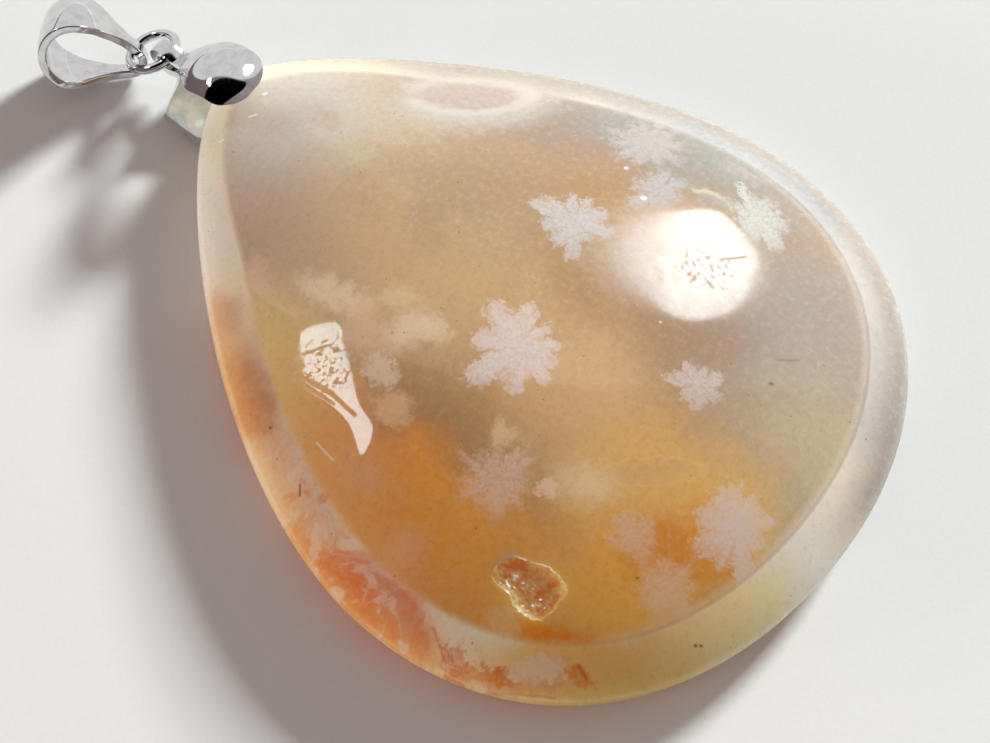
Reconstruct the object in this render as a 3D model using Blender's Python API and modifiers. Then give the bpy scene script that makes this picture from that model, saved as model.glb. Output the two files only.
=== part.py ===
"""Flower agate drop pendant lying on its back, in metres.

The origin is on the flat back under the middle of the stone's length.
+X runs from the tip to the blunt end, +Z is up out of the back.
"""
import math

import bmesh
import bpy
import numpy as np
from mathutils import Matrix, Vector

MM = 0.001

# Stone: a pear outline from four points and the reach of the curve between them
STONE_LENGTH = 52.0 * MM
STONE_WIDTH = 42.1 * MM
WIDEST_X = 6.9 * MM
TIP_REACH = 5.5 * MM
FLANK_REACH_TO_TIP = 14.0 * MM
FLANK_REACH_TO_BLUNT_END = 11.4 * MM
BLUNT_END_REACH = 12.65 * MM

# Stone: heights and insets of its cross-section
TOP_HEIGHT = 8.2 * MM
SHOULDER_HEIGHT = 4.4 * MM
SHOULDER_INSET = 3.0 * MM
SHOULDER_SLOPE = math.radians(32.0)
GIRDLE_HEIGHT = 2.0 * MM
GIRDLE_REACH = 0.9 * MM
BEVEL_REACH = 1.5 * MM
BACK_EDGE_INSET = 2.6 * MM
DOME_CENTRE_X = 3.0 * MM
TIP_THINNING = 0.5 * MM
TIP_BACK_LIFT = 1.4 * MM
TIP_ZONE = (-24.5 * MM, -15.0 * MM)
TIP_NARROWING = 0.4
GIRDLE_LIFT_SHARE = 0.3

STONE_SEGMENTS = 88
DOME_RINGS = 10
SIDE_RINGS = 5
UNDER_RINGS = 5
BACK_RINGS = 3

# Pit in the dome, a three-cornered hollow cut by a blob whose centre is a little above the dome
PIT_CENTRE = (14.3 * MM, -13.4 * MM)
PIT_RADIUS = 2.2 * MM
PIT_NARROWING = 0.72
PIT_DEPTH = 0.85 * MM
PIT_BLOB_RISE = 0.15 * MM
PIT_CORNER_SHARE = 0.13
PIT_LEAN_SHARE = 0.22
PIT_WAVE_SHARE = 0.06
PIT_SHALLOW_SHARE = 0.3

# The fittings are laid out from the tip of the stone, and hang a little to one side of it
FITTINGS_PLACE = Vector((-26.0 * MM, -0.45 * MM, 0.0))
FITTINGS_TURN = math.radians(7.0)

# Metal strip bent round the tip, from the front leaf round the eye to the back leaf
STRIP_THICKNESS = 0.6 * MM
EYE = Vector((-4.6 * MM, 0.0, 2.6 * MM))
LOOP_RADIUS = 0.95 * MM
LOOP_OPENING = math.radians(35.0)
LOOP_POINTS = 14
NECK_HALF_WIDTH = 0.55 * MM
LEAF_END_SHARE = 0.25
FRONT_LEAF_HALF_WIDTH = 2.25 * MM
FRONT_LEAF_CROWN = 0.75 * MM
FRONT_LEAF_SHOULDER = (4.0 * MM, 7.2 * MM)
FRONT_LEAF_ROUNDING = 1.8 * MM
BACK_LEAF_HALF_WIDTH = 3.5 * MM
BACK_LEAF_CROWN = 0.45 * MM
BACK_LEAF_SHOULDER = (4.0 * MM, 5.2 * MM)
BACK_LEAF_ROUNDING = 1.2 * MM

# Middle line of each leaf in the strip's upright plane, in millimetres
FRONT_LEAF_ROUTE = [(3.2, 5.1), (2.5, 5.65), (0.9, 5.9), (-0.8, 5.35), (-2.1, 4.4), (-2.9, 3.6), (-3.5, 3.2)]
BACK_LEAF_ROUTE = [(-3.5, 2.0), (-2.9, 1.55), (-1.8, 1.0), (-0.3, 0.65), (1.4, 0.5)]
ROUTE_STEPS = 4

# Link ring, from the eye down towards the table
WIRE_RADIUS = 0.35 * MM
RING_RADIUS = 1.75 * MM
RING_SLOPE = math.radians(20.0)

# Slider loop, hung on the ring a little to one side and leaning
SLIDER_SIDE_ANGLE = math.radians(43.0)
SLIDER_LEAN = math.radians(24.0)
SLIDER_PITCH = math.radians(27.0)
SLIDER_FAR_RADIUS = 2.4 * MM
SLIDER_CENTRES = 3.6 * MM
SLIDER_FAR_HALF_WIDTH = 2.1 * MM
SLIDER_CROWN = 0.12 * MM
SLIDER_TAPER = (0.2 * MM, 4.2 * MM)
SLIDER_POINTS = 52

EDGE_ROUNDING = 0.1 * MM
EDGE_ANGLE = math.radians(50.0)
SMOOTH_ANGLE = math.radians(35.0)
MERGE_DISTANCE = 0.001 * MM


def clear_scene():
    """Removes whatever the scene holds."""
    for thing in list(bpy.data.objects):
        bpy.data.objects.remove(thing, do_unlink=True)


def new_collection(name):
    group = bpy.data.collections.new(name)
    bpy.context.scene.collection.children.link(group)
    return group


def new_material(name, colour, roughness, metallic):
    material = bpy.data.materials.new(name)
    material.use_nodes = True
    shader = material.node_tree.nodes["Principled BSDF"]
    shader.inputs["Base Color"].default_value = (*colour, 1.0)
    shader.inputs["Roughness"].default_value = roughness
    shader.inputs["Metallic"].default_value = metallic
    material.diffuse_color = (*colour, 1.0)
    return material


def new_object(name, bm, group, material=None):
    """Makes an object of the mesh in bm, smooth shaded, and puts it in the group."""
    mesh = bpy.data.meshes.new(name)
    bmesh.ops.recalc_face_normals(bm, faces=bm.faces)
    bm.to_mesh(mesh)
    bm.free()
    mesh.shade_smooth()
    mesh.set_sharp_from_angle(angle=SMOOTH_ANGLE)
    thing = bpy.data.objects.new(name, mesh)
    group.objects.link(thing)
    if material:
        mesh.materials.append(material)
    return thing


def smoothstep(low, high, value):
    share = min(1.0, max(0.0, (value - low) / (high - low)))
    return share * share * (3.0 - 2.0 * share)


def bezier(a, b, c, d, t):
    s = 1.0 - t
    return a * s**3 + b * (3.0 * s * s * t) + c * (3.0 * s * t * t) + d * t**3


def bezier_slope(a, b, c, d, t):
    s = 1.0 - t
    return (b - a) * (3.0 * s * s) + (c - b) * (6.0 * s * t) + (d - c) * (3.0 * t * t)


def outline(turn):
    """Point and inward normal of the stone's outline; turn is 0 at the blunt end and 0.5 at the tip."""
    side = 1.0 if turn <= 0.5 else -1.0
    along = 4.0 * (turn if turn <= 0.5 else 1.0 - turn)
    blunt = Vector((STONE_LENGTH / 2, 0.0))
    tip = Vector((-STONE_LENGTH / 2, 0.0))
    widest = Vector((WIDEST_X, STONE_WIDTH / 2))
    if along <= 1.0:
        off_blunt_end = blunt + Vector((0.0, BLUNT_END_REACH))
        before_widest = widest + Vector((FLANK_REACH_TO_BLUNT_END, 0.0))
        cage = (blunt, off_blunt_end, before_widest, widest)
    else:
        after_widest = widest - Vector((FLANK_REACH_TO_TIP, 0.0))
        before_tip = tip + Vector((0.0, TIP_REACH))
        cage = (widest, after_widest, before_tip, tip)
        along -= 1.0
    point = bezier(*cage, along)
    slope = bezier_slope(*cage, along).normalized()
    normal = Vector((-slope.y, slope.x))
    return Vector((point.x, point.y * side)), Vector((normal.x, normal.y * side))


def tip_share(x):
    """1 at the tip of the stone, 0 over its body."""
    return 1.0 - smoothstep(*TIP_ZONE, x)


def inset_share(x):
    """Share of the full insets that the section has at x; the tip is too tight for all of them."""
    return 1.0 - TIP_NARROWING * tip_share(x)


def dome_height(point, share):
    """Height of the front at a share of the way from the dome's centre to the shoulder."""
    shoulder = SHOULDER_HEIGHT - TIP_THINNING * tip_share(point.x)
    return shoulder + (TOP_HEIGHT - SHOULDER_HEIGHT) * (1.0 - share * share)


def stone_point(turn, ring):
    """Place of the vertex at that turn round the stone, on that ring counted from the top."""
    edge, inward = outline(turn)
    centre = Vector((DOME_CENTRE_X, 0.0))
    lift = TIP_BACK_LIFT * tip_share(edge.x)
    shoulder_inset = SHOULDER_INSET * inset_share(edge.x)
    back_inset = BACK_EDGE_INSET * inset_share(edge.x)
    if ring <= DOME_RINGS:
        share = ring / DOME_RINGS
        point = centre.lerp(edge + inward * shoulder_inset, share)
        return Vector((point.x, point.y, dome_height(point, share)))
    ring -= DOME_RINGS
    if ring <= SIDE_RINGS:
        girdle = Vector((0.0, GIRDLE_HEIGHT + GIRDLE_LIFT_SHARE * lift))
        shoulder_x = (edge + inward * shoulder_inset).x
        shoulder = Vector((shoulder_inset, SHOULDER_HEIGHT - TIP_THINNING * tip_share(shoulder_x)))
        bevel = Vector((math.cos(SHOULDER_SLOPE), math.sin(SHOULDER_SLOPE))) * BEVEL_REACH
        cage = (shoulder, shoulder - bevel, girdle + Vector((0.0, GIRDLE_REACH)), girdle)
        inset, height = bezier(*cage, ring / SIDE_RINGS)
        point = edge + inward * inset
        return Vector((point.x, point.y, height))
    ring -= SIDE_RINGS
    if ring <= UNDER_RINGS:
        angle = math.radians(90.0) * ring / UNDER_RINGS
        point = edge + inward * back_inset * (1.0 - math.cos(angle))
        girdle = GIRDLE_HEIGHT + GIRDLE_LIFT_SHARE * lift
        back = TIP_BACK_LIFT * tip_share(point.x)
        return Vector((point.x, point.y, back + (girdle - back) * (1.0 - math.sin(angle))))
    ring -= UNDER_RINGS
    point = (edge + inward * back_inset).lerp(centre, ring / BACK_RINGS)
    return Vector((point.x, point.y, TIP_BACK_LIFT * tip_share(point.x)))


def make_stone(group, cutters, material):
    """The stone is a globe whose rings are laid along its cross-section, less the pit."""
    rings = DOME_RINGS + SIDE_RINGS + UNDER_RINGS + BACK_RINGS
    bm = bmesh.new()
    bmesh.ops.create_uvsphere(bm, u_segments=STONE_SEGMENTS, v_segments=rings, radius=1.0)
    for vertex in bm.verts:
        turn = (math.atan2(vertex.co.y, vertex.co.x) / math.tau) % 1.0
        ring = round(math.acos(max(-1.0, min(1.0, vertex.co.z))) / math.pi * rings)
        vertex.co = stone_point(turn, ring)
    stone = new_object("stone", bm, group, material)
    pit = make_pit_cutter(cutters)
    cut = stone.modifiers.new("pit", "BOOLEAN")
    cut.operation = "DIFFERENCE"
    cut.solver = "EXACT"
    cut.object = pit
    return stone


def surface_height(x, y):
    """Height of the dome above a place on the stone."""
    centre = Vector((DOME_CENTRE_X, 0.0))
    reach = Vector((x, y)) - centre
    best = min((outline(i / 360.0) for i in range(360)),
               key=lambda e: (e[0] - centre).angle(reach))
    share = reach.length / ((best[0] + best[1] * SHOULDER_INSET) - centre).length
    return dome_height(Vector((x, y)), min(share, 1.0))


def make_pit_cutter(cutters):
    """A lumpy three-cornered blob sunk half its height in the dome."""
    bm = bmesh.new()
    bmesh.ops.create_icosphere(bm, subdivisions=2, radius=1.0)
    for vertex in bm.verts:
        angle = math.atan2(vertex.co.y, vertex.co.x)
        corner = 1.0 - PIT_CORNER_SHARE * math.cos(3.0 * angle) - PIT_LEAN_SHARE * math.cos(angle)
        corner += PIT_WAVE_SHARE * math.cos(7.0 * angle)
        vertex.co.x *= PIT_RADIUS * corner
        vertex.co.y *= PIT_RADIUS * PIT_NARROWING * corner
        vertex.co.z *= PIT_DEPTH * (1.0 + PIT_SHALLOW_SHARE * math.cos(angle))
    place = (*PIT_CENTRE, surface_height(*PIT_CENTRE) + PIT_BLOB_RISE)
    bmesh.ops.translate(bm, verts=bm.verts, vec=place)
    cutter = new_object("pit_cutter", bm, cutters)
    cutter.hide_render = True
    cutter.display_type = "WIRE"
    return cutter


def smooth_route(points):
    """Points on a smooth curve through the given ones, with the same number in each stretch."""
    ends = [2 * points[0] - points[1], *points, 2 * points[-1] - points[-2]]
    route = []
    for i in range(len(points) - 1):
        a, b, c, d = (np.array(p) for p in ends[i:i + 4])
        for k in range(ROUTE_STEPS):
            t = k / ROUTE_STEPS
            route.append(0.5 * ((2 * b) + (c - a) * t + (2 * a - 5 * b + 4 * c - d) * t * t
                                + (3 * b - a - 3 * c + d) * t**3))
    route.append(np.array(points[-1]))
    return route


def make_strip(name, rows, closed, group, material, across=6):
    """Bends a flat sheet into a strip, and gives it its thickness and rounded edges.

    Each row lies across the strip, and holds its middle point, the direction that its crown faces,
    the direction across, its half width and the height of its crown. A closed strip joins its ends.
    """
    bm = bmesh.new()
    bmesh.ops.create_grid(bm, x_segments=across, y_segments=len(rows) - 1, size=1.0)
    for vertex in bm.verts:
        off_middle = vertex.co.x
        row = round((vertex.co.y + 1.0) / 2.0 * (len(rows) - 1))
        middle, crown_side, along_row, half_width, crown = rows[row]
        vertex.co = middle + along_row * (half_width * off_middle) - crown_side * (crown * off_middle**2)
    if closed:
        bmesh.ops.remove_doubles(bm, verts=bm.verts, dist=MERGE_DISTANCE)
    strip = new_object(name, bm, group, material)
    thick = strip.modifiers.new("thickness", "SOLIDIFY")
    thick.thickness = STRIP_THICKNESS
    thick.offset = 0.0
    thick.use_even_offset = True
    edge = strip.modifiers.new("rounded_edges", "BEVEL")
    edge.width = EDGE_ROUNDING
    edge.segments = 1
    edge.limit_method = "ANGLE"
    edge.angle_limit = EDGE_ANGLE
    return strip


def leaf_half_width(distance, widest, shoulder, rounding):
    """Half width of a leaf at a distance from its free end, narrowing to the neck past its shoulder."""
    end = math.sqrt(max(0.0, 1.0 - max(0.0, 1.0 - distance / rounding) ** 2))
    body = widest * (LEAF_END_SHARE + (1.0 - LEAF_END_SHARE) * end)
    neck = smoothstep(*shoulder, distance)
    return body * (1.0 - neck) + NECK_HALF_WIDTH * neck


def make_fittings_place(group):
    """The empty at the tip that the metal pieces are placed from."""
    place = bpy.data.objects.new("fittings_place", None)
    place.location = FITTINGS_PLACE
    place.rotation_euler.z = FITTINGS_TURN
    group.objects.link(place)
    return place


def make_pinch_bail(group, material):
    """One strip: front leaf, neck, eye round the ring, neck, back leaf."""
    front = smooth_route([np.array(p) * MM for p in FRONT_LEAF_ROUTE])
    back = smooth_route([np.array(p) * MM for p in BACK_LEAF_ROUTE])
    eye = []
    for k in range(1, LOOP_POINTS):
        angle = LOOP_OPENING + (math.tau - 2.0 * LOOP_OPENING) * k / LOOP_POINTS
        x = EYE.x + LOOP_RADIUS * math.cos(angle)
        z = EYE.z + LOOP_RADIUS * math.sin(angle)
        eye.append(np.array((x, z)))
    route = front + eye + back
    gone = [0.0]
    for a, b in zip(route, route[1:]):
        gone.append(gone[-1] + float(np.linalg.norm(b - a)))
    across = Vector((0.0, 1.0, 0.0))
    rows = []
    for i, place in enumerate(route):
        slope = route[min(i + 1, len(route) - 1)] - route[max(i - 1, 0)]
        outward = Vector((slope[1], 0.0, -slope[0])).normalized()
        from_front = gone[i]
        from_back = gone[-1] - gone[i]
        if from_front < from_back:
            widest = FRONT_LEAF_HALF_WIDTH
            half = leaf_half_width(from_front, widest, FRONT_LEAF_SHOULDER, FRONT_LEAF_ROUNDING)
            crown = FRONT_LEAF_CROWN * (half / widest) ** 2
        else:
            widest = BACK_LEAF_HALF_WIDTH
            half = leaf_half_width(from_back, widest, BACK_LEAF_SHOULDER, BACK_LEAF_ROUNDING)
            crown = BACK_LEAF_CROWN * (half / widest) ** 2
        rows.append((Vector((place[0], 0.0, place[1])), outward, across, half, crown))
    return make_strip("pinch_bail", rows, False, group, material, across=8)


def ring_frame():
    """Centre of the ring and its two directions: away from the eye, and across towards -Y."""
    away = Vector((-math.cos(RING_SLOPE), 0.0, -math.sin(RING_SLOPE)))
    across = Vector((0.0, -1.0, 0.0))
    return EYE + away * RING_RADIUS, away, across


def make_link_ring(group, material):
    """Round wire ring through the eye, its origin at the eye."""
    centre, away, across = ring_frame()
    bpy.ops.mesh.primitive_torus_add(major_radius=RING_RADIUS, minor_radius=WIRE_RADIUS,
                                     major_segments=36, minor_segments=10)
    ring = bpy.context.object
    ring.name = "link_ring"
    ring.data.name = "link_ring"
    normal = away.cross(across)
    place = Matrix((away, across, normal)).transposed().to_4x4()
    place.translation = centre - EYE
    ring.data.transform(place)
    ring.location = EYE
    ring.data.shade_smooth()
    ring.data.materials.append(material)
    for old in list(ring.users_collection):
        old.objects.unlink(ring)
    group.objects.link(ring)
    return ring


def slider_frame():
    """Where the slider hangs on the ring, and its directions: along it, its hole's axis, and up."""
    centre, away, across = ring_frame()
    hang = centre + (away * math.cos(SLIDER_SIDE_ANGLE) + across * math.sin(SLIDER_SIDE_ANGLE)) * RING_RADIUS
    side = SLIDER_SIDE_ANGLE
    hole = Vector((math.sin(side) * math.cos(SLIDER_LEAN), -math.cos(side) * math.cos(SLIDER_LEAN),
                   math.sin(SLIDER_LEAN)))
    level = Vector((-math.cos(side), -math.sin(side), 0.0))
    up = level.cross(hole)
    if up.z < 0.0:
        up = -up
    along = level * math.cos(SLIDER_PITCH) + up * math.sin(SLIDER_PITCH)
    up = up * math.cos(SLIDER_PITCH) - level * math.sin(SLIDER_PITCH)
    return hang, along, hole, up


def slider_route(count):
    """Closed route round the slider's large and small arcs, with the outward direction at each point."""
    lean = math.asin((SLIDER_FAR_RADIUS - LOOP_RADIUS) / SLIDER_CENTRES)
    straight = math.sqrt(SLIDER_CENTRES**2 - (SLIDER_FAR_RADIUS - LOOP_RADIUS) ** 2)
    small = (math.pi - 2.0 * lean) * LOOP_RADIUS
    large = (math.pi + 2.0 * lean) * SLIDER_FAR_RADIUS
    total = small + large + 2.0 * straight
    far_centre = Vector((SLIDER_CENTRES, 0.0))
    near_centre = Vector((0.0, 0.0))
    route = []
    for k in range(count + 1):
        gone = total * (k % count) / count
        if gone < large:
            angle = -(math.pi / 2 + lean) + gone / SLIDER_FAR_RADIUS
            share_near = 0.0
        elif gone < large + straight:
            angle = math.pi / 2 + lean
            share_near = (gone - large) / straight
        elif gone < large + straight + small:
            angle = math.pi / 2 + lean + (gone - large - straight) / LOOP_RADIUS
            share_near = 1.0
        else:
            angle = -(math.pi / 2 + lean)
            share_near = (total - gone) / straight
        out = Vector((math.cos(angle), math.sin(angle)))
        far = far_centre + out * SLIDER_FAR_RADIUS
        near = near_centre + out * LOOP_RADIUS
        route.append((far.lerp(near, share_near), out))
    return route


def make_slider(group, material):
    """Tapered loop that runs on a chain, its origin where it hangs on the ring."""
    hang, along, hole, up = slider_frame()
    rows = []
    for point, out in slider_route(SLIDER_POINTS):
        widen = smoothstep(*SLIDER_TAPER, point[0])
        half = NECK_HALF_WIDTH + (SLIDER_FAR_HALF_WIDTH - NECK_HALF_WIDTH) * widen
        middle = along * point[0] + up * point[1]
        outward = along * out[0] + up * out[1]
        rows.append((middle, outward, hole, half, SLIDER_CROWN * widen))
    slider = make_strip("slider_bail", rows, True, group, material)
    slider.location = hang
    return slider


def main():
    clear_scene()
    pendant = new_collection("flower_agate_pendant")
    cutters = new_collection("cutters")
    agate = new_material("agate", (0.62, 0.42, 0.24), 0.12, 0.0)
    chrome = new_material("chrome", (0.78, 0.78, 0.79), 0.08, 1.0)
    make_stone(pendant, cutters, agate)
    place = make_fittings_place(pendant)
    for make in (make_pinch_bail, make_link_ring, make_slider):
        fitting = make(pendant, chrome)
        fitting.parent = place


main()
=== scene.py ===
"""Looks of the flower agate drop pendant: its polished stone with flowers and a pit, and its chrome fittings.

Lengths are in metres, and the marks inside the stone are placed in millimetres from the frame's origin.
"""
import math
from collections import namedtuple

import bpy
from mathutils import Matrix, Vector, noise


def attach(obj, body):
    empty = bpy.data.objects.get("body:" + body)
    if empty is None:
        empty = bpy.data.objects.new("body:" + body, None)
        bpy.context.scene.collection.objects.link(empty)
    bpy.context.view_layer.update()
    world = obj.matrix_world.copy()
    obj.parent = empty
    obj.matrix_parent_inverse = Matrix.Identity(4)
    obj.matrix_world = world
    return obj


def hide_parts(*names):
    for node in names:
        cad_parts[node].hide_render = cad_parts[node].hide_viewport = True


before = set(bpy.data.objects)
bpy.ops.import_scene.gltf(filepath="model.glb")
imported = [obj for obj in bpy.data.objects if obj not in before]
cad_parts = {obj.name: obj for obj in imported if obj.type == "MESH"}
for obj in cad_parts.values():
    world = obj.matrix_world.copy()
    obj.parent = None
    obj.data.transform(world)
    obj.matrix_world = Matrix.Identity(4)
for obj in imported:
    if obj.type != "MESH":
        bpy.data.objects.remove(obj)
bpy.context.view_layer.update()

MM = 0.001

# Stone: a pear outline from four points and the reach of the curve between them
STONE_LENGTH = 52.0 * MM
STONE_WIDTH = 42.1 * MM
WIDEST_X = 6.9 * MM
TIP_REACH = 5.5 * MM
FLANK_REACH_TO_TIP = 14.0 * MM
FLANK_REACH_TO_BLUNT_END = 11.4 * MM
BLUNT_END_REACH = 12.65 * MM

# Stone: heights and insets of its cross-section
TOP_HEIGHT = 8.2 * MM
SHOULDER_HEIGHT = 4.4 * MM
SHOULDER_INSET = 3.0 * MM
SHOULDER_SLOPE = math.radians(32.0)
GIRDLE_HEIGHT = 2.0 * MM
GIRDLE_REACH = 0.9 * MM
BEVEL_REACH = 1.5 * MM
BACK_EDGE_INSET = 2.6 * MM
DOME_CENTRE_X = 3.0 * MM
TIP_THINNING = 0.5 * MM
TIP_BACK_LIFT = 1.4 * MM
TIP_ZONE = (-24.5 * MM, -15.0 * MM)
TIP_NARROWING = 0.4
GIRDLE_LIFT_SHARE = 0.3

STONE_SEGMENTS = 256
DOME_RINGS = 56
SIDE_RINGS = 20
UNDER_RINGS = 12
BACK_RINGS = 12
ALL_RINGS = DOME_RINGS + SIDE_RINGS + UNDER_RINGS + BACK_RINGS
SHOULDER_V = 1.0 - DOME_RINGS / ALL_RINGS
GIRDLE_V = 1.0 - (DOME_RINGS + SIDE_RINGS) / ALL_RINGS

# Pit in the dome
PIT_CENTRE = (14.3 * MM, -13.4 * MM)
PIT_RADIUS = 2.2 * MM
PIT_NARROWING = 0.72
PIT_DEPTH = 0.85 * MM
PIT_BLOB_RISE = 0.15 * MM
PIT_CORNER_SHARE = 0.13
PIT_LEAN_SHARE = 0.22
PIT_WAVE_SHARE = 0.06
PIT_SHALLOW_SHARE = 0.3
CRYSTAL_SIZE = 0.32 * MM
CRYSTAL_HEIGHT = 0.16 * MM

# Fittings, laid out from the tip of the stone
FITTINGS_PLACE = Vector((-26.0 * MM, -0.45 * MM, 0.0))
FITTINGS_TURN = math.radians(7.0)
STRIP_THICKNESS = 0.6 * MM
EYE = Vector((-4.6 * MM, 0.0, 2.6 * MM))
LOOP_RADIUS = 0.95 * MM
LOOP_OPENING = math.radians(35.0)
LOOP_POINTS = 14
NECK_HALF_WIDTH = 0.55 * MM
LEAF_END_SHARE = 0.25
FRONT_LEAF_HALF_WIDTH = 2.25 * MM
FRONT_LEAF_CROWN = 0.75 * MM
FRONT_LEAF_SHOULDER = (4.0 * MM, 7.2 * MM)
FRONT_LEAF_ROUNDING = 1.8 * MM
BACK_LEAF_HALF_WIDTH = 3.5 * MM
BACK_LEAF_CROWN = 0.45 * MM
BACK_LEAF_SHOULDER = (4.0 * MM, 5.2 * MM)
BACK_LEAF_ROUNDING = 1.2 * MM
FRONT_LEAF_ROUTE = [(3.2, 5.1), (2.5, 5.65), (0.9, 5.9), (-0.8, 5.35), (-2.1, 4.4), (-2.9, 3.6), (-3.5, 3.2)]
BACK_LEAF_ROUTE = [(-3.5, 2.0), (-2.9, 1.55), (-1.8, 1.0), (-0.3, 0.65), (1.4, 0.5)]
ROUTE_STEPS = 6
WIRE_RADIUS = 0.35 * MM
RING_RADIUS = 1.75 * MM
RING_SLOPE = math.radians(20.0)
SLIDER_SIDE_ANGLE = math.radians(43.0)
SLIDER_LEAN = math.radians(24.0)
SLIDER_PITCH = math.radians(27.0)
SLIDER_FAR_RADIUS = 2.4 * MM
SLIDER_CENTRES = 3.6 * MM
SLIDER_FAR_HALF_WIDTH = 2.1 * MM
SLIDER_CROWN = 0.12 * MM
SLIDER_TAPER = (0.2 * MM, 4.2 * MM)
SLIDER_POINTS = 104
EDGE_ROUNDING = 0.1 * MM

AGATE_IOR = 1.54

# Camera at the photograph's viewing angle
CAMERA_PLACE = Vector((30.06, -33.24, 93.28)) * MM
CAMERA_RIGHT = Vector((0.7426, 0.6696, -0.0083))
CAMERA_UP = Vector((-0.60885771, 0.68029065, 0.40804033))
CAMERA_BACK = Vector((0.27890215, -0.29795926, 0.91292599))
SENSOR_WIDTH = 36.0
LENS_LENGTH = 57.09

# Kinds of marking; their colours are as the eye reads them, 0 to 255, and their lengths are in millimetres
Patch = namedtuple("Patch", "colour place reach turn edge strength")
Flower = namedtuple("Flower", "name place petals valley fuzz softness strength colour")
Arc = namedtuple("Arc", "colour place reach turn width start finish strength")
Line = namedtuple("Line", "colour start finish width strength")


def deselect_all():
    bpy.ops.object.select_all(action="DESELECT")


def smoothstep(low, high, value):
    share = min(1.0, max(0.0, (value - low) / (high - low)))
    return share * share * (3.0 - 2.0 * share)


def bezier(a, b, c, d, t):
    s = 1.0 - t
    return a * s**3 + b * (3.0 * s * s * t) + c * (3.0 * s * t * t) + d * t**3


def bezier_slope(a, b, c, d, t):
    s = 1.0 - t
    return (b - a) * (3.0 * s * s) + (c - b) * (6.0 * s * t) + (d - c) * (3.0 * t * t)


def outline(turn):
    """Point and inward normal of the stone's outline; turn is 0 at the blunt end and 0.5 at the tip."""
    side = 1.0 if turn <= 0.5 else -1.0
    along = 4.0 * (turn if turn <= 0.5 else 1.0 - turn)
    blunt = Vector((STONE_LENGTH / 2, 0.0))
    tip = Vector((-STONE_LENGTH / 2, 0.0))
    widest = Vector((WIDEST_X, STONE_WIDTH / 2))
    if along <= 1.0:
        off_blunt_end = blunt + Vector((0.0, BLUNT_END_REACH))
        before_widest = widest + Vector((FLANK_REACH_TO_BLUNT_END, 0.0))
        cage = (blunt, off_blunt_end, before_widest, widest)
    else:
        after_widest = widest - Vector((FLANK_REACH_TO_TIP, 0.0))
        before_tip = tip + Vector((0.0, TIP_REACH))
        cage = (widest, after_widest, before_tip, tip)
        along -= 1.0
    point = bezier(*cage, along)
    slope = bezier_slope(*cage, along).normalized()
    normal = Vector((-slope.y, slope.x))
    return Vector((point.x, point.y * side)), Vector((normal.x, normal.y * side))


def tip_share(x):
    """1 at the tip of the stone, 0 over its body."""
    return 1.0 - smoothstep(*TIP_ZONE, x)


def inset_share(x):
    """Share of the full insets that the section has at x; the tip is too tight for all of them."""
    return 1.0 - TIP_NARROWING * tip_share(x)


def dome_height(point, share):
    """Height of the front at a share of the way from the dome's centre to the shoulder."""
    shoulder = SHOULDER_HEIGHT - TIP_THINNING * tip_share(point.x)
    return shoulder + (TOP_HEIGHT - SHOULDER_HEIGHT) * (1.0 - share * share)


def stone_point(edge, inward, ring):
    """Place of the vertex on that ring, counted from the top, inwards from a point of the outline."""
    centre = Vector((DOME_CENTRE_X, 0.0))
    lift = TIP_BACK_LIFT * tip_share(edge.x)
    shoulder_inset = SHOULDER_INSET * inset_share(edge.x)
    back_inset = BACK_EDGE_INSET * inset_share(edge.x)
    if ring <= DOME_RINGS:
        share = ring / DOME_RINGS
        point = centre.lerp(edge + inward * shoulder_inset, share)
        return Vector((point.x, point.y, dome_height(point, share)))
    ring -= DOME_RINGS
    if ring <= SIDE_RINGS:
        girdle = Vector((0.0, GIRDLE_HEIGHT + GIRDLE_LIFT_SHARE * lift))
        shoulder_x = (edge + inward * shoulder_inset).x
        shoulder = Vector((shoulder_inset, SHOULDER_HEIGHT - TIP_THINNING * tip_share(shoulder_x)))
        bevel = Vector((math.cos(SHOULDER_SLOPE), math.sin(SHOULDER_SLOPE))) * BEVEL_REACH
        cage = (shoulder, shoulder - bevel, girdle + Vector((0.0, GIRDLE_REACH)), girdle)
        inset, height = bezier(*cage, ring / SIDE_RINGS)
        point = edge + inward * inset
        return Vector((point.x, point.y, height))
    ring -= SIDE_RINGS
    if ring <= UNDER_RINGS:
        angle = math.radians(90.0) * ring / UNDER_RINGS
        point = edge + inward * back_inset * (1.0 - math.cos(angle))
        girdle = GIRDLE_HEIGHT + GIRDLE_LIFT_SHARE * lift
        back = TIP_BACK_LIFT * tip_share(point.x)
        return Vector((point.x, point.y, back + (girdle - back) * (1.0 - math.sin(angle))))
    ring -= UNDER_RINGS
    point = (edge + inward * back_inset).lerp(centre, ring / BACK_RINGS)
    return Vector((point.x, point.y, TIP_BACK_LIFT * tip_share(point.x)))


def surface_height(x, y):
    """Height of the dome above a place on the stone."""
    centre = Vector((DOME_CENTRE_X, 0.0))
    reach = Vector((x, y)) - centre
    edges = [outline(i / 360.0) for i in range(360)]
    edge, inward = min(edges, key=lambda e: (e[0] - centre).angle(reach))
    share = reach.length / ((edge + inward * SHOULDER_INSET) - centre).length
    return dome_height(Vector((x, y)), min(share, 1.0))


def apply_modifiers(piece):
    deselect_all()
    piece.select_set(True)
    bpy.context.view_layer.objects.active = piece
    for modifier in list(piece.modifiers):
        bpy.ops.object.modifier_apply(modifier=modifier.name)


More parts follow.
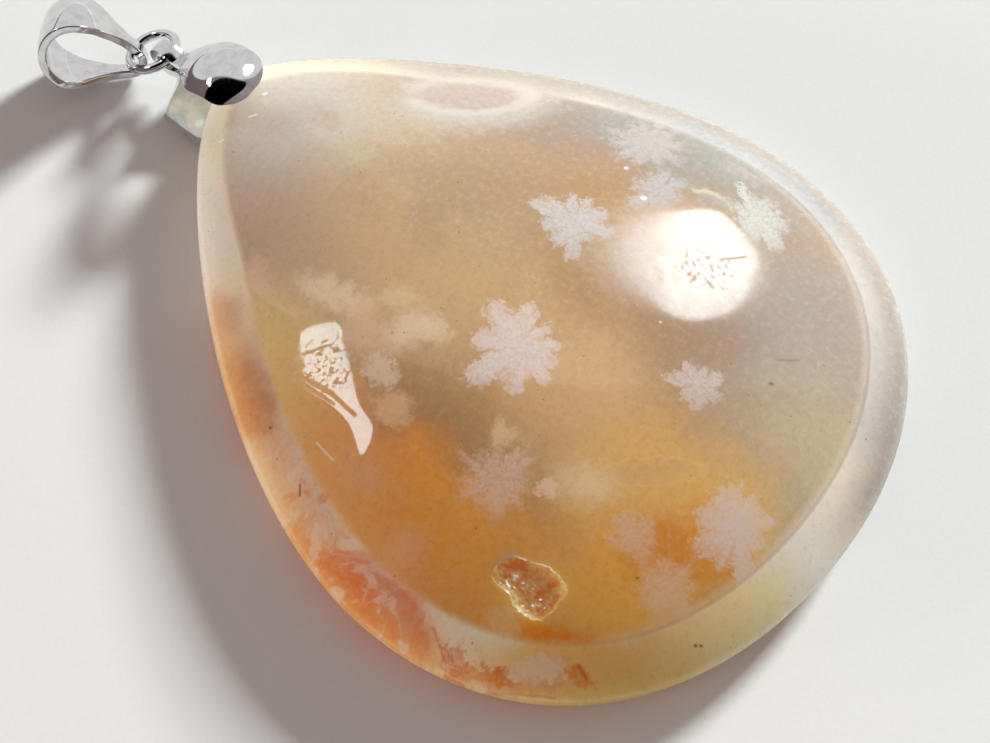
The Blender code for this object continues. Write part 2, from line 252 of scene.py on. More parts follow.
def make_pit_blob():
    """A lumpy three-cornered blob covered in small crystals, which cuts the pit."""
    deselect_all()
    bpy.ops.mesh.primitive_ico_sphere_add(subdivisions=6, radius=1.0, calc_uvs=True)
    blob = bpy.context.object
    blob.name = "pit_blob"
    height = surface_height(*PIT_CENTRE) + PIT_BLOB_RISE
    for vertex in blob.data.vertices:
        way = vertex.co.normalized()
        angle = math.atan2(way.y, way.x)
        corner = 1.0 - PIT_CORNER_SHARE * math.cos(3.0 * angle) - PIT_LEAN_SHARE * math.cos(angle)
        corner += PIT_WAVE_SHARE * math.cos(7.0 * angle)
        depth = PIT_DEPTH * (1.0 + PIT_SHALLOW_SHARE * math.cos(angle))
        reach = PIT_RADIUS * corner
        place = Vector((way.x * reach, way.y * reach * PIT_NARROWING, way.z * depth))
        cell = noise.voronoi(place / CRYSTAL_SIZE, distance_metric="DISTANCE")[0]
        wave = noise.noise(place / (4.0 * CRYSTAL_SIZE))
        place += way * (CRYSTAL_HEIGHT * (0.5 - cell[0]) + 1.5 * CRYSTAL_HEIGHT * wave)
        vertex.co = place + Vector((*PIT_CENTRE, height))
    return blob


def make_stone():
    """A globe whose rings are laid along the stone's cross-section, less the pit."""
    deselect_all()
    bpy.ops.mesh.primitive_uv_sphere_add(segments=STONE_SEGMENTS, ring_count=ALL_RINGS,
                                         radius=1.0, calc_uvs=True)
    stone = bpy.context.object
    stone.name = "agate_stone"
    stone.data.name = "agate_stone"
    edges = [outline(i / STONE_SEGMENTS) for i in range(STONE_SEGMENTS)]
    for vertex in stone.data.vertices:
        turn = round(math.atan2(vertex.co.y, vertex.co.x) / math.tau * STONE_SEGMENTS) % STONE_SEGMENTS
        ring = round(math.acos(max(-1.0, min(1.0, vertex.co.z))) / math.pi * ALL_RINGS)
        vertex.co = stone_point(*edges[turn], ring)
    stone.data.materials.append(agate_material())
    blob = make_pit_blob()
    blob.data.materials.append(crystal_material())
    cut = stone.modifiers.new("pit", "BOOLEAN")
    cut.operation = "DIFFERENCE"
    cut.solver = "EXACT"
    cut.material_mode = "TRANSFER"
    cut.object = blob
    apply_modifiers(stone)
    bpy.data.objects.remove(blob, do_unlink=True)
    bpy.ops.object.shade_smooth_by_angle(angle=math.radians(30.0))
    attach(stone, "pendant")
    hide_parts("stone")


def smooth_route(points):
    """Points on a smooth curve through the given ones, with the same number in each stretch."""
    ends = [2 * points[0] - points[1], *points, 2 * points[-1] - points[-2]]
    route = []
    for i in range(len(points) - 1):
        a, b, c, d = ends[i:i + 4]
        for k in range(ROUTE_STEPS):
            t = k / ROUTE_STEPS
            route.append(0.5 * ((2 * b) + (c - a) * t + (2 * a - 5 * b + 4 * c - d) * t * t
                                + (3 * b - a - 3 * c + d) * t**3))
    route.append(points[-1])
    return route


def make_strip(name, rows, closed, across, place, body, node):
    """Bends a flat sheet into a strip, and gives it its thickness, rounded edges and polish."""
    deselect_all()
    bpy.ops.mesh.primitive_grid_add(x_subdivisions=across, y_subdivisions=len(rows) - 1, size=2.0)
    strip = bpy.context.object
    strip.name = name
    strip.data.name = name
    for vertex in strip.data.vertices:
        off_middle = vertex.co.x
        row = round((vertex.co.y + 1.0) / 2.0 * (len(rows) - 1))
        middle, crown_side, along_row, half_width, crown = rows[row]
        vertex.co = middle + along_row * (half_width * off_middle) - crown_side * (crown * off_middle**2)
    strip.data.transform(place)
    bpy.ops.object.mode_set(mode="EDIT")
    bpy.ops.mesh.select_all(action="SELECT")
    if closed:
        bpy.ops.mesh.remove_doubles(threshold=0.001 * MM)
    bpy.ops.mesh.normals_make_consistent(inside=False)
    bpy.ops.object.mode_set(mode="OBJECT")
    thick = strip.modifiers.new("thickness", "SOLIDIFY")
    thick.thickness = STRIP_THICKNESS
    thick.offset = 0.0
    thick.use_even_offset = True
    edge = strip.modifiers.new("rounded_edges", "BEVEL")
    edge.width = EDGE_ROUNDING
    edge.segments = 3
    edge.limit_method = "ANGLE"
    edge.angle_limit = math.radians(50.0)
    smooth = strip.modifiers.new("smooth", "SUBSURF")
    smooth.levels = 1
    smooth.render_levels = 1
    apply_modifiers(strip)
    bpy.ops.object.shade_smooth_by_angle(angle=math.radians(50.0))
    strip.data.materials.append(CHROME)
    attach(strip, body)
    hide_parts(node)


def leaf_half_width(distance, widest, shoulder, rounding):
    """Half width of a leaf at a distance from its free end, narrowing to the neck past its shoulder."""
    end = math.sqrt(max(0.0, 1.0 - max(0.0, 1.0 - distance / rounding) ** 2))
    body = widest * (LEAF_END_SHARE + (1.0 - LEAF_END_SHARE) * end)
    neck = smoothstep(*shoulder, distance)
    return body * (1.0 - neck) + NECK_HALF_WIDTH * neck


def fittings_matrix():
    return Matrix.Translation(FITTINGS_PLACE) @ Matrix.Rotation(FITTINGS_TURN, 4, "Z")


def make_pinch_bail():
    """One strip: front leaf, neck, eye round the ring, neck, back leaf."""
    front = smooth_route([Vector(p) * MM for p in FRONT_LEAF_ROUTE])
    back = smooth_route([Vector(p) * MM for p in BACK_LEAF_ROUTE])
    eye = []
    for k in range(1, LOOP_POINTS):
        angle = LOOP_OPENING + (math.tau - 2.0 * LOOP_OPENING) * k / LOOP_POINTS
        eye.append(Vector((EYE.x + LOOP_RADIUS * math.cos(angle), EYE.z + LOOP_RADIUS * math.sin(angle))))
    route = front + eye + back
    gone = [0.0]
    for a, b in zip(route, route[1:]):
        gone.append(gone[-1] + (b - a).length)
    across = Vector((0.0, 1.0, 0.0))
    rows = []
    for i, place in enumerate(route):
        slope = route[min(i + 1, len(route) - 1)] - route[max(i - 1, 0)]
        outward = Vector((slope.y, 0.0, -slope.x)).normalized()
        from_front = gone[i]
        from_back = gone[-1] - gone[i]
        if from_front < from_back:
            widest = FRONT_LEAF_HALF_WIDTH
            half = leaf_half_width(from_front, widest, FRONT_LEAF_SHOULDER, FRONT_LEAF_ROUNDING)
            crown = FRONT_LEAF_CROWN * (half / widest) ** 2
        else:
            widest = BACK_LEAF_HALF_WIDTH
            half = leaf_half_width(from_back, widest, BACK_LEAF_SHOULDER, BACK_LEAF_ROUNDING)
            crown = BACK_LEAF_CROWN * (half / widest) ** 2
        rows.append((Vector((place.x, 0.0, place.y)), outward, across, half, crown))
    make_strip("polished_pinch_bail", rows, False, 16, fittings_matrix(), "pendant", "pinch_bail")


def make_link_ring():
    """Round wire ring through the eye."""
    away = Vector((-math.cos(RING_SLOPE), 0.0, -math.sin(RING_SLOPE)))
    across = Vector((0.0, -1.0, 0.0))
    centre = EYE + away * RING_RADIUS
    deselect_all()
    bpy.ops.mesh.primitive_torus_add(major_radius=RING_RADIUS, minor_radius=WIRE_RADIUS,
                                     major_segments=96, minor_segments=24)
    ring = bpy.context.object
    ring.name = "polished_link_ring"
    ring.data.name = "polished_link_ring"
    place = Matrix((away, across, away.cross(across))).transposed().to_4x4()
    place.translation = centre
    ring.data.transform(fittings_matrix() @ place)
    bpy.ops.object.shade_smooth()
    ring.data.materials.append(CHROME)
    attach(ring, "ring")
    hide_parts("link_ring")


def slider_frame():
    """Where the slider hangs on the ring, and its directions: along it, its hole's axis, and up."""
    away = Vector((-math.cos(RING_SLOPE), 0.0, -math.sin(RING_SLOPE)))
    across = Vector((0.0, -1.0, 0.0))
    side = SLIDER_SIDE_ANGLE
    hang = EYE + away * RING_RADIUS + (away * math.cos(side) + across * math.sin(side)) * RING_RADIUS
    hole = Vector((math.sin(side) * math.cos(SLIDER_LEAN), -math.cos(side) * math.cos(SLIDER_LEAN),
                   math.sin(SLIDER_LEAN)))
    level = Vector((-math.cos(side), -math.sin(side), 0.0))
    up = level.cross(hole)
    if up.z < 0.0:
        up = -up
    along = level * math.cos(SLIDER_PITCH) + up * math.sin(SLIDER_PITCH)
    up = up * math.cos(SLIDER_PITCH) - level * math.sin(SLIDER_PITCH)
    return hang, along, hole, up


def slider_route():
    """Closed route round the slider's small and large arcs, with the outward direction at each point."""
    lean = math.asin((SLIDER_FAR_RADIUS - LOOP_RADIUS) / SLIDER_CENTRES)
    straight = math.sqrt(SLIDER_CENTRES**2 - (SLIDER_FAR_RADIUS - LOOP_RADIUS) ** 2)
    small = (math.pi - 2.0 * lean) * LOOP_RADIUS
    large = (math.pi + 2.0 * lean) * SLIDER_FAR_RADIUS
    total = small + large + 2.0 * straight
    far_centre = Vector((SLIDER_CENTRES, 0.0))
    route = []
    for k in range(SLIDER_POINTS + 1):
        gone = total * (k % SLIDER_POINTS) / SLIDER_POINTS
        if gone < large:
            angle = -(math.pi / 2 + lean) + gone / SLIDER_FAR_RADIUS
            share_near = 0.0
        elif gone < large + straight:
            angle = math.pi / 2 + lean
            share_near = (gone - large) / straight
        elif gone < large + straight + small:
            angle = math.pi / 2 + lean + (gone - large - straight) / LOOP_RADIUS
            share_near = 1.0
        else:
            angle = -(math.pi / 2 + lean)
            share_near = (total - gone) / straight
        out = Vector((math.cos(angle), math.sin(angle)))
        far = far_centre + out * SLIDER_FAR_RADIUS
        near = out * LOOP_RADIUS
        route.append((far.lerp(near, share_near), out))
    return route


def make_slider():
    """Tapered loop that runs on a chain."""
    hang, along, hole, up = slider_frame()
    rows = []
    for point, out in slider_route():
        widen = smoothstep(*SLIDER_TAPER, point.x)
        half = NECK_HALF_WIDTH + (SLIDER_FAR_HALF_WIDTH - NECK_HALF_WIDTH) * widen
        middle = hang + along * point.x + up * point.y
        outward = along * out.x + up * out.y
        rows.append((middle, outward, hole, half, SLIDER_CROWN * widen))
    make_strip("polished_slider_bail", rows, True, 12, fittings_matrix(), "slider", "slider_bail")


# Node helpers


def paint(red, green, blue):
    """A colour as the eye reads it, 0 to 255, in the scene's linear light."""
    linear = []
    for value in (red, green, blue):
        share = value / 255.0
        linear.append(share / 12.92 if share <= 0.04045 else ((share + 0.055) / 1.055) ** 2.4)
    return (*linear, 1.0)


def feed(tree, socket, value):
    """Sets a socket to a number, vector or colour, or links another socket to it."""
    if isinstance(value, bpy.types.NodeSocket):
        tree.links.new(value, socket)
    else:
        socket.default_value = value


def math_of(tree, operation, a, b=0.0, c=0.0, clamp=False):
    node = tree.nodes.new("ShaderNodeMath")
    node.operation = operation
    node.use_clamp = clamp
    feed(tree, node.inputs[0], a)
    feed(tree, node.inputs[1], b)
    feed(tree, node.inputs[2], c)
    return node.outputs[0]


def product(tree, a, b):
    return math_of(tree, "MULTIPLY", a, b)


def vector_of(tree, operation, a, b=(0.0, 0.0, 0.0), scale=None):
    node = tree.nodes.new("ShaderNodeVectorMath")
    node.operation = operation
    feed(tree, node.inputs[0], a)
    if scale is None:
        feed(tree, node.inputs[1], b)
    else:
        feed(tree, node.inputs["Scale"], scale)
    return node.outputs["Value" if operation in ("LENGTH", "DOT_PRODUCT", "DISTANCE") else "Vector"]


def step_of(tree, value, low, high, top=1.0):
    """0 at low, top at high, and smooth between them."""
    node = tree.nodes.new("ShaderNodeMapRange")
    node.interpolation_type = "SMOOTHSTEP"
    feed(tree, node.inputs["Value"], value)
    feed(tree, node.inputs["From Min"], low)
    feed(tree, node.inputs["From Max"], high)
    feed(tree, node.inputs["To Max"], top)
    return node.outputs["Result"]


def noise_of(tree, position, scale, detail=3.0, roughness=0.55, dimensions="2D"):
    node = tree.nodes.new("ShaderNodeTexNoise")
    node.noise_dimensions = dimensions
    feed(tree, node.inputs["Vector"], position)
    node.inputs["Scale"].default_value = scale
    node.inputs["Detail"].default_value = detail
    node.inputs["Roughness"].default_value = roughness
    return node


def flattened(tree, position):
    """The position seen straight from above."""
    return vector_of(tree, "MULTIPLY", position, (1.0, 1.0, 0.0))


def shift_of(tree, wave, reach):
    """A noise node's colour as a shift to all sides."""
    shift = vector_of(tree, "SUBTRACT", wave.outputs["Color"], (0.5, 0.5, 0.5))
    return vector_of(tree, "SCALE", shift, scale=reach)


def mixed(tree, share, below, above):
    node = tree.nodes.new("ShaderNodeMix")
    node.data_type = "RGBA"
    feed(tree, node.inputs["Factor"], share)
    feed(tree, node.inputs["A"], below)
    feed(tree, node.inputs["B"], above)
    return node.outputs["Result"]


def new_group(name, inputs, outputs):
    """A shader node group with named inputs and outputs; each is (name, kind)."""
    tree = bpy.data.node_groups.new(name, "ShaderNodeTree")
    for socket, kind in inputs:
        tree.interface.new_socket(name=socket, in_out="INPUT", socket_type=kind)
    for socket, kind in outputs:
        tree.interface.new_socket(name=socket, in_out="OUTPUT", socket_type=kind)
    start = tree.nodes.new("NodeGroupInput")
    end = tree.nodes.new("NodeGroupOutput")
    return tree, start.outputs, end.inputs


def use_group(tree, group, **values):
    """Puts a group in a tree; an underscore in a value's name stands for a space in the input's."""
    node = tree.nodes.new("ShaderNodeGroup")
    node.node_tree = group
    for name, value in values.items():
        feed(tree, node.inputs[name.replace("_", " ")], value)
    return node.outputs


VECTOR = "NodeSocketVector"
FLOAT = "NodeSocketFloat"


def oval(place, reach, turn):
    """A group's inputs for an oval: its centre, and its two directions, each 1 over its reach long."""
    angle = math.radians(turn)
    along = (math.cos(angle) / reach[0], math.sin(angle) / reach[0], 0.0)
    across = (-math.sin(angle) / reach[1], math.cos(angle) / reach[1], 0.0)
    return {"Centre": (*place, 0.0), "Along": along, "Across": across}


def oval_place(tree, given):
    """The position seen from an oval, along it, across it, and as a distance that is 1 on the oval."""
    off = vector_of(tree, "SUBTRACT", given["Position"], given["Centre"])
    along = vector_of(tree, "DOT_PRODUCT", off, given["Along"])
    across = vector_of(tree, "DOT_PRODUCT", off, given["Across"])
    return along, across, math_of(tree, "SQRT", math_of(tree, "MULTIPLY_ADD", along, along,
                                                        product(tree, across, across)))


OVAL_INPUTS = [("Position", VECTOR), ("Centre", VECTOR), ("Along", VECTOR), ("Across", VECTOR)]


def new_material(name):
    """A material, its tree and shader, and the place on its object in millimetres."""
    material = bpy.data.materials.new(name)
    material.use_nodes = True
    tree = material.node_tree
    coordinates = tree.nodes.new("ShaderNodeTexCoord")
    place = vector_of(tree, "SCALE", coordinates.outputs["Object"], scale=1.0 / MM)
    return material, tree, tree.nodes["Principled BSDF"], place


def let_light_in(shader, depth):
    """Makes a material cloudy, so that light wanders through it, red the farthest."""
    shader.inputs["IOR"].default_value = AGATE_IOR
    shader.inputs["Subsurface Weight"].default_value = 1.0
    shader.inputs["Subsurface Radius"].default_value = (1.0, 0.75, 0.55)
    shader.inputs["Subsurface Scale"].default_value = depth


def soft_patch_group():
    """Mask of an oval cloud of colour with a soft edge."""
    tree, given, out = new_group("soft_patch", [*OVAL_INPUTS, ("Edge", FLOAT), ("Strength", FLOAT)],
                                 [("Mask", FLOAT)])
    distance = oval_place(tree, given)[2]
    outer = math_of(tree, "ADD", 1.0, given["Edge"])
    inner = math_of(tree, "SUBTRACT", 1.0, given["Edge"])
    feed(tree, out["Mask"], step_of(tree, distance, outer, inner, given["Strength"]))
    return tree


def arc_line_group():
    """Mask of a line along part of an oval; From and To are angles round it."""
    tree, given, out = new_group(
        "arc_line",
        [*OVAL_INPUTS, ("Width", FLOAT), ("From", FLOAT), ("To", FLOAT), ("Fade", FLOAT),
         ("Strength", FLOAT)],
        [("Mask", FLOAT)])
    along, across, distance = oval_place(tree, given)
    off = math_of(tree, "ABSOLUTE", math_of(tree, "SUBTRACT", distance, 1.0))
    line = step_of(tree, off, given["Width"], 0.0)
    angle = math_of(tree, "ARCTAN2", across, along)
    begun = step_of(tree, angle, given["From"], math_of(tree, "ADD", given["From"], given["Fade"]))
    ending = step_of(tree, angle, given["To"], math_of(tree, "SUBTRACT", given["To"], given["Fade"]))
    mask = product(tree, line, product(tree, begun, ending))
    feed(tree, out["Mask"], product(tree, mask, given["Strength"]))
    return tree


def scratch_group():
    """Mask of a straight thin line between two places."""
    tree, given, out = new_group(
        "scratch",
        [("Position", VECTOR), ("Start", VECTOR), ("Finish", VECTOR), ("Width", FLOAT), ("Strength", FLOAT)],
        [("Mask", FLOAT)])
    off = vector_of(tree, "SUBTRACT", given["Position"], given["Start"])
    run = vector_of(tree, "SUBTRACT", given["Finish"], given["Start"])
    share = math_of(tree, "DIVIDE", vector_of(tree, "DOT_PRODUCT", off, run),
                    vector_of(tree, "DOT_PRODUCT", run, run), clamp=True)
    near = vector_of(tree, "SCALE", run, scale=share)
    distance = vector_of(tree, "DISTANCE", off, near)
    line = step_of(tree, distance, given["Width"], 0.0)
    feed(tree, out["Mask"], product(tree, line, given["Strength"]))
    return tree


def flower_place_group():
    """Angle round a flower, as a share of a turn, distance from its centre, and fine rays out of it."""
    tree, given, out = new_group("flower_place", [("Position", VECTOR), ("Centre", VECTOR), ("Seed", FLOAT)],
                                 [("Angle", FLOAT), ("Distance", FLOAT), ("Rays", FLOAT)])
    off = vector_of(tree, "SUBTRACT", given["Position"], given["Centre"])
    beside = vector_of(tree, "DOT_PRODUCT", off, (1.0, 0.0, 0.0))
    above = vector_of(tree, "DOT_PRODUCT", off, (0.0, 1.0, 0.0))
    turn = math_of(tree, "DIVIDE", math_of(tree, "ARCTAN2", above, beside), math.tau)
    distance = vector_of(tree, "LENGTH", off)
    feed(tree, out["Angle"], math_of(tree, "FRACT", turn))
    feed(tree, out["Distance"], distance)
    rays = tree.nodes.new("ShaderNodeTexNoise")
    rays.noise_dimensions = "1D"
    swirl = math_of(tree, "ADD", product(tree, turn, 21.0), product(tree, distance, 0.4))
    feed(tree, rays.inputs["W"], math_of(tree, "ADD", swirl, given["Seed"]))
    rays.inputs["Scale"].default_value = 1.0
    rays.inputs["Detail"].default_value = 3.0
    rays.inputs["Roughness"].default_value = 0.6
    feed(tree, out["Rays"], math_of(tree, "SUBTRACT", rays.outputs["Fac"], 0.5))
    return tree


def flower_petals_group():
    """Mask of a flower of frost: ragged petals, thinner at their ends, along creases and between grains."""
    tree, given, out = new_group(
        "flower_petals",
        [("Distance", FLOAT), ("Petal Reach", FLOAT), ("Rays", FLOAT), ("Ragged", FLOAT), ("Grain", FLOAT),
         ("Fuzz", FLOAT), ("Softness", FLOAT), ("Strength", FLOAT)],
        [("Mask", FLOAT)])
    reach = product(tree, given["Petal Reach"], PETAL_SCALE)
    fringe = product(tree, given["Ragged"], given["Fuzz"])
    rayed = product(tree, product(tree, given["Rays"], given["Fuzz"]), 1.6)
    edge = math_of(tree, "ADD", reach, math_of(tree, "ADD", fringe, rayed))
    inside = math_of(tree, "SUBTRACT", edge, given["Distance"])
    mask = step_of(tree, inside, product(tree, given["Softness"], -1.4), given["Softness"])
    depth = step_of(tree, inside, 0.0, 1.3)
    crease = step_of(tree, given["Rays"], -0.16, 0.02)
    body = math_of(tree, "ADD", product(tree, depth, 0.25), product(tree, crease, 0.35))
    body = math_of(tree, "ADD", body, product(tree, given["Grain"], 0.4))
    body = math_of(tree, "ADD", 0.2, product(tree, body, 0.85))
    mask = product(tree, mask, body)
    feed(tree, out["Mask"], product(tree, mask, given["Strength"]))
    return tree


def petal_curve(tree, angle, flower):
    """A curve node from the angle to the petals' reach, as a share of PETAL_SCALE."""
    node = tree.nodes.new("ShaderNodeFloatCurve")
    node.label = flower.name
    feed(tree, node.inputs["Value"], angle)
    petals = sorted(flower.petals)
    knots = []
    for i, (degrees, reach) in enumerate(petals):
        next_degrees, next_reach = petals[(i + 1) % len(petals)]
        gap = (next_degrees - degrees) % 360.0
        side = PETAL_BREADTH * gap
        knots.append((degrees, reach))
        knots.append((degrees + side, PETAL_SIDE_SHARE * reach))
        knots.append((degrees + gap / 2.0, flower.valley * min(reach, next_reach)))
        knots.append((degrees + gap - side, PETAL_SIDE_SHARE * next_reach))
    knots = sorted((degrees % 360.0, reach) for degrees, reach in knots)
    first, last = knots[0], knots[-1]
    gap = first[0] + 360.0 - last[0]
    join = last[1] + (first[1] - last[1]) * (360.0 - last[0]) / gap
    curve = node.mapping.curves[0]
    curve.points[0].location = (0.0, join / PETAL_SCALE)
    curve.points[1].location = (1.0, join / PETAL_SCALE)
    for degrees, reach in knots:
        if 1.0 < degrees < 359.0:
            curve.points.new(degrees / 360.0, reach / PETAL_SCALE)
    node.mapping.update()
    return node.outputs["Value"]


# Petals: largest reach that their curve can hold, and where and how far out their shoulders are
PETAL_SCALE = 5.0
PETAL_BREADTH = 0.27
PETAL_SIDE_SHARE = 0.93

# How far noise moves the edges of the clouds, of the veils and of the frost, in millimetres
DRIFT_REACH = 5.0
RUFFLE_REACH = 1.9
SHIVER_REACH = 1.2
BEND_SHARE = 0.4

# Brown specks: share of the cells that have none, and size of the largest
SPECKLESS_SHARE = 0.35
SPECK_SIZE = 0.16

# Half the width of the seam between dome and band, as a share of the globe's rings
SEAM = 0.012

GROUND = paint(177, 142, 102)

# Clouds of colour through the body of the stone, from the deepest to the nearest; partly painted light, as
# those on the side away from the window lamp are painted lighter in place of light passing through the stone
BODY_CLOUDS_AND_PAINTED_LIGHT = [
    Patch((195, 177, 156), (-14.0, -0.5), (11.0, 10.0), 0, 0.6, 0.9),
    Patch((193, 189, 180), (-21.5, 0.5), (6.0, 6.0), 0, 0.7, 0.9),
    Patch((219, 189, 137), (-4.5, -3.0), (7.5, 5.5), 0, 0.8, 0.7),
    Patch((158, 143, 131), (-5.5, 13.0), (12.0, 4.0), 16, 0.8, 0.85),
    Patch((153, 153, 148), (1.5, 16.8), (10.0, 3.2), 10, 0.7, 0.9),
    Patch((167, 155, 146), (17.0, 11.0), (8.5, 8.0), 0, 0.6, 0.95),
    Patch((195, 177, 149), (21.5, 3.0), (5.5, 7.0), 0, 0.7, 0.85),
    Patch((224, 188, 141), (9.5, -3.5), (7.0, 4.5), 0, 0.8, 0.8),
    Patch((243, 219, 154), (-6.5, -13.4), (7.5, 3.0), -20, 0.7, 0.8),
    Patch((242, 177, 111), (2.5, -16.0), (9.0, 3.0), -22, 0.6, 0.95),
    Patch((244, 169, 82), (6.8, -13.6), (5.2, 2.7), -14, 0.6, 0.95),
    Patch((246, 176, 84), (12.0, -13.8), (5.0, 4.0), 0, 0.7, 0.8),
    Patch((234, 184, 105), (17.5, -5.5), (5.5, 5.5), 0, 0.6, 0.85),
    Patch((242, 174, 82), (18.4, -10.4), (4.2, 3.4), -30, 0.6, 0.95),
    Patch((218, 136, 46), (19.2, -5.8), (3.4, 2.4), 0, 0.7, 0.75),
    Patch((232, 162, 102), (8.5, -17.8), (2.2, 0.9), -25, 0.7, 0.7),
    Patch((246, 138, 13), (17.0, -14.4), (2.2, 0.9), 35, 0.6, 0.85),
    Patch((166, 141, 110), (-6.2, 3.0), (5.5, 4.0), 20, 0.8, 0.8),
]

# Colours of the sloping band round the dome, partly painted light: the grey clouds on the window lamp's side
# are partly a painted sheen, and the pale ground and clouds on the other side are painted lighter in place of
# light passing through the stone
BAND_GROUND_AND_PAINTED_LIGHT = paint(246, 224, 196)
BAND_CLOUDS_AND_PAINTED_LIGHT = [
    Patch((160, 167, 174), (4.0, 19.5), (14.0, 5.0), 0, 0.5, 0.9),
    Patch((184, 180, 178), (19.5, 12.5), (9.0, 8.0), 0, 0.5, 0.9),
    Patch((236, 216, 200), (24.5, -2.0), (5.0, 8.0), 0, 0.6, 0.9),
    Patch((246, 232, 218), (-17.8, -9.0), (4.2, 2.4), -38, 0.7, 0.85),
    Patch((190, 158, 138), (-12.7, -12.7), (1.7, 1.6), 0, 0.6, 0.7),
    Patch((176, 128, 96), (-7.0, -15.6), (4.2, 1.8), -22, 0.7, 0.85),
    Patch((216, 183, 161), (1.5, -18.2), (4.4, 2.0), -20, 0.7, 0.85),
    Patch((190, 116, 80), (3.6, -20.6), (4.6, 1.3), -8, 0.6, 0.8),
    Patch((226, 96, 40), (7.8, -19.6), (4.6, 1.8), -8, 0.7, 0.85),
    Patch((252, 184, 96), (20.6, -13.9), (8.0, 2.9), 47, 0.5, 0.9),
    Patch((250, 206, 148), (24.0, -6.5), (4.4, 2.2), 72, 0.7, 0.85),
    Patch((176, 170, 165), (-10.0, 14.8), (13.0, 3.5), 36, 0.6, 0.85),
]

# Marks on the lower edge of the band
BAND_MARKS = [
    Patch((210, 161, 135), (9.0, -19.2), (3.4, 0.9), -12, 0.6, 0.7),
    Patch((227, 152, 126), (16.6, -17.6), (3.2, 0.8), 40, 0.4, 0.7),
    Patch((185, 60, 13), (13.3, -19.3), (0.75, 1.1), 50, 0.3, 0.9),
    Patch((210, 140, 101), (14.7, -18.95), (0.8, 0.6), 40, 0.35, 0.9),
    Patch((204, 98, 16), (15.8, -18.0), (0.9, 0.5), 35, 0.4, 0.9),
    Patch((246, 206, 179), (17.1, -16.3), (1.9, 0.65), 44, 0.3, 0.95),
    Patch((246, 138, 46), (19.2, -14.9), (1.0, 0.35), 5, 0.5, 0.85),
]

# Paler clouds of tiny crystals, near the surface, and first a painted haze round the dome's main highlight
VEILS_AND_HIGHLIGHT_HAZE = [
    # Painted highlight: a pale haze round the dome's main highlight.
    Patch((206, 192, 180), (6.6, 8.0), (4.6, 3.6), 42, 0.6, 0.8),
    Patch((194, 186, 177), (-11.3, 9.8), (5.4, 3.3), 47, 0.35, 0.8),
    Patch((184, 164, 154), (-11.75, 9.5), (3.7, 1.7), 45, 0.25, 0.7),
    Patch((159, 152, 165), (-16.2, 9.3), (2.6, 0.8), 45, 0.6, 0.6),
    Patch((183, 169, 159), (-19.0, 0.4), (2.6, 1.3), 48, 0.6, 0.7),
    Patch((184, 160, 135), (-16.8, 1.5), (1.0, 0.7), 0, 0.8, 0.6),
    Patch((196, 183, 161), (-13.4, -0.5), (1.6, 0.5), 58, 0.7, 0.7),
    Patch((171, 166, 165), (5.6, 17.0), (1.7, 0.5), 14, 0.6, 0.8),
    Patch((245, 227, 197), (-7.6, -7.6), (2.6, 0.9), 12, 0.5, 0.6),
    Patch((238, 202, 164), (-4.4, -8.4), (1.9, 1.3), -20, 0.6, 0.6),
    Patch((228, 203, 162), (-4.0, -5.4), (1.2, 0.7), 30, 0.7, 0.7),
    Patch((242, 224, 198), (-2.0, -6.6), (1.5, 1.0), 70, 0.7, 0.65),
    Patch((241, 222, 186), (-0.6, -5.6), (0.9, 0.7), 0, 0.8, 0.6),
    Patch((235, 215, 192), (-1.6, -9.5), (1.1, 0.9), 0, 0.35, 0.8),
    Patch((246, 208, 165), (0.6, -10.8), (1.3, 1.0), 0, 0.5, 0.6),
    Patch((246, 227, 188), (6.8, -7.9), (0.7, 0.6), 0, 0.6, 0.5),
    Patch((239, 208, 183), (10.9, -8.5), (0.6, 0.55), 0, 0.4, 0.75),
    Patch((246, 221, 190), (12.4, -6.9), (1.8, 1.2), 40, 0.8, 0.5),
    Patch((232, 183, 149), (1.8, -14.6), (1.4, 0.9), 0, 0.7, 0.5),
    Patch((230, 197, 175), (-12.4, -9.7), (1.5, 0.8), -40, 0.6, 0.6),
    Patch((246, 186, 140), (6.9, -16.4), (1.1, 1.3), 0, 0.6, 0.6),
    Patch((246, 195, 143), (13.9, -15.7), (0.9, 0.75), 0, 0.5, 0.6),
    Patch((162, 130, 103), (10.6, 5.2), (3.4, 2.6), 40, 0.7, 0.4),
    Patch((206, 168, 129), (14.8, -3.6), (2.9, 0.7), 47, 0.5, 0.35),
    Patch((172, 171, 167), (6.1, 13.6), (1.5, 0.4), 5, 0.7, 0.6),
]

